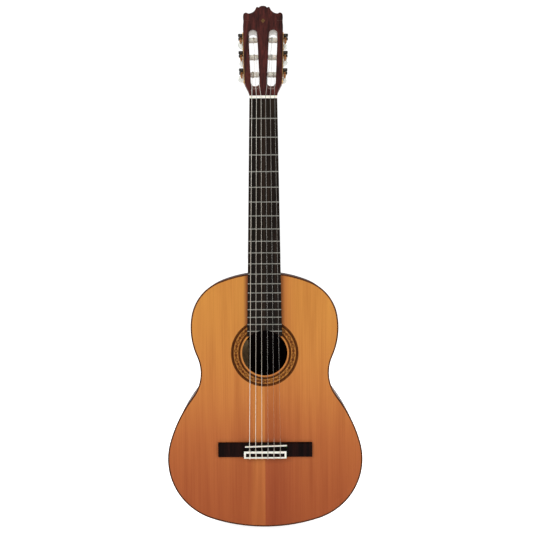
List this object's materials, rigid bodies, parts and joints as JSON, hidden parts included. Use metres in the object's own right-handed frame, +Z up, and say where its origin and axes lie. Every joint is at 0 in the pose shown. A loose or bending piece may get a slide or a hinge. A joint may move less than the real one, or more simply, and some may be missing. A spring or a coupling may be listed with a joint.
{
  "type": "classical guitar",
  "caption": "Classical guitar with a slotted head: hollow waisted body, rosette, fretted neck, tied strings and geared tuners that turn.",
  "frame": {"origin": "on the centreline at the nut's front edge, in the plane of the soundboard's face, where a hanger or a hand holds the neck", "axes": "+Z up the neck towards the head, strings facing -Y, +X towards the treble side"},
  "size_m": [0.3742, 0.1135, 0.9969],
  "materials": {
    "binding": "gloss",
    "bone": "polished",
    "button": "pearl",
    "cedar": "gloss",
    "ebony": "satin",
    "fret_metal": "polished",
    "gear_metal": "aged",
    "inlay": "polished",
    "inner_wood": "raw",
    "mahogany": "gloss",
    "nylon": "clear",
    "paper": "blank",
    "plate_metal": "polished",
    "purfling": "gloss",
    "roller": "gloss",
    "rosette": "gloss",
    "rosewood": "gloss",
    "screw_metal": "polished",
    "shaft_metal": "aged",
    "wound_string": "wound"
  },
  "bodies": {
    "root": {"back_bass": "rosewood", "back_binding": "binding", "back_braces": "inner_wood", "back_centre_strip": "purfling", "back_treble": "rosewood", "bridge": "rosewood", "fingerboard": "ebony", "frets": "fret_metal", "head_inlay": "inlay", "headplate": "rosewood", "headstock": "mahogany", "heel_block": "inner_wood", "heel_cap": "rosewood", "label": "paper", "linings": "inner_wood", "neck": "mahogany", "nut": "bone", "plate_screws": "screw_metal", "purflings": "purfling", "rosette": "rosette", "saddle": "bone", "side_bass": "rosewood", "side_treble": "rosewood", "soundboard": "cedar", "string_a5": "wound_string", "string_b2": "nylon", "string_d4": "wound_string", "string_e1": "nylon", "string_e6": "wound_string", "string_g3": "nylon", "tail_block": "inner_wood", "tie_block_trim": "bone", "top_binding": "binding", "top_braces": "inner_wood", "tuner_plate_bass": "plate_metal", "tuner_plate_treble": "plate_metal"},
    "roller_e6": {"roller_e6": "roller", "gear_wheel_e6": "gear_metal"},
    "worm_e6": {"worm_shaft_e6": "shaft_metal", "button_e6": "button"},
    "roller_a5": {"roller_a5": "roller", "gear_wheel_a5": "gear_metal"},
    "worm_a5": {"worm_shaft_a5": "shaft_metal", "button_a5": "button"},
    "roller_d4": {"roller_d4": "roller", "gear_wheel_d4": "gear_metal"},
    "worm_d4": {"worm_shaft_d4": "shaft_metal", "button_d4": "button"},
    "roller_g3": {"roller_g3": "roller", "gear_wheel_g3": "gear_metal"},
    "worm_g3": {"worm_shaft_g3": "shaft_metal", "button_g3": "button"},
    "roller_b2": {"roller_b2": "roller", "gear_wheel_b2": "gear_metal"},
    "worm_b2": {"worm_shaft_b2": "shaft_metal", "button_b2": "button"},
    "roller_e1": {"roller_e1": "roller", "gear_wheel_e1": "gear_metal"},
    "worm_e1": {"worm_shaft_e1": "shaft_metal", "button_e1": "button"}
  },
  "joints": [
    {"name": "button_turn_e6", "type": "hinge", "parent": "root", "child": "worm_e6", "pos_m": [-0.04058, 0.02078, 0.05508], "axis": [0, 0.9681, -0.2504], "continuous": true},
    {"name": "roller_turn_e6", "type": "hinge", "parent": "root", "child": "roller_e6", "pos_m": [-0.03539, 0.01897, 0.04809], "axis": [-0.9996, -0.0068, -0.0262], "continuous": true},
    {"name": "button_turn_a5", "type": "hinge", "parent": "root", "child": "worm_a5", "pos_m": [-0.04154, 0.0296, 0.08919], "axis": [0, 0.9681, -0.2504], "continuous": true},
    {"name": "roller_turn_a5", "type": "hinge", "parent": "root", "child": "roller_a5", "pos_m": [-0.03634, 0.0278, 0.08221], "axis": [-0.9996, -0.0068, -0.0262], "continuous": true},
    {"name": "button_turn_d4", "type": "hinge", "parent": "root", "child": "worm_d4", "pos_m": [-0.04249, 0.03842, 0.12331], "axis": [0, 0.9681, -0.2504], "continuous": true},
    {"name": "roller_turn_d4", "type": "hinge", "parent": "root", "child": "roller_d4", "pos_m": [-0.03729, 0.03662, 0.11632], "axis": [-0.9996, -0.0068, -0.0262], "continuous": true},
    {"name": "button_turn_g3", "type": "hinge", "parent": "root", "child": "worm_g3", "pos_m": [0.04249, 0.03842, 0.12331], "axis": [0, 0.9681, -0.2504], "continuous": true},
    {"name": "roller_turn_g3", "type": "hinge", "parent": "root", "child": "roller_g3", "pos_m": [0.03729, 0.03662, 0.11632], "axis": [0.9996, -0.0068, -0.0262], "continuous": true},
    {"name": "button_turn_b2", "type": "hinge", "parent": "root", "child": "worm_b2", "pos_m": [0.04154, 0.0296, 0.08919], "axis": [0, 0.9681, -0.2504], "continuous": true},
    {"name": "roller_turn_b2", "type": "hinge", "parent": "root", "child": "roller_b2", "pos_m": [0.03634, 0.0278, 0.08221], "axis": [0.9996, -0.0068, -0.0262], "continuous": true},
    {"name": "button_turn_e1", "type": "hinge", "parent": "root", "child": "worm_e1", "pos_m": [0.04058, 0.02078, 0.05508], "axis": [0, 0.9681, -0.2504], "continuous": true},
    {"name": "roller_turn_e1", "type": "hinge", "parent": "root", "child": "roller_e1", "pos_m": [0.03539, 0.01897, 0.04809], "axis": [0.9996, -0.0068, -0.0262], "continuous": true}
  ],
  "couplings": [
    {"joint": "roller_turn_e6", "follows": "button_turn_e6", "ratio": 0.071429},
    {"joint": "roller_turn_a5", "follows": "button_turn_a5", "ratio": 0.071429},
    {"joint": "roller_turn_d4", "follows": "button_turn_d4", "ratio": 0.071429},
    {"joint": "roller_turn_g3", "follows": "button_turn_g3", "ratio": 0.071429},
    {"joint": "roller_turn_b2", "follows": "button_turn_b2", "ratio": 0.071429},
    {"joint": "roller_turn_e1", "follows": "button_turn_e1", "ratio": 0.071429}
  ]
}
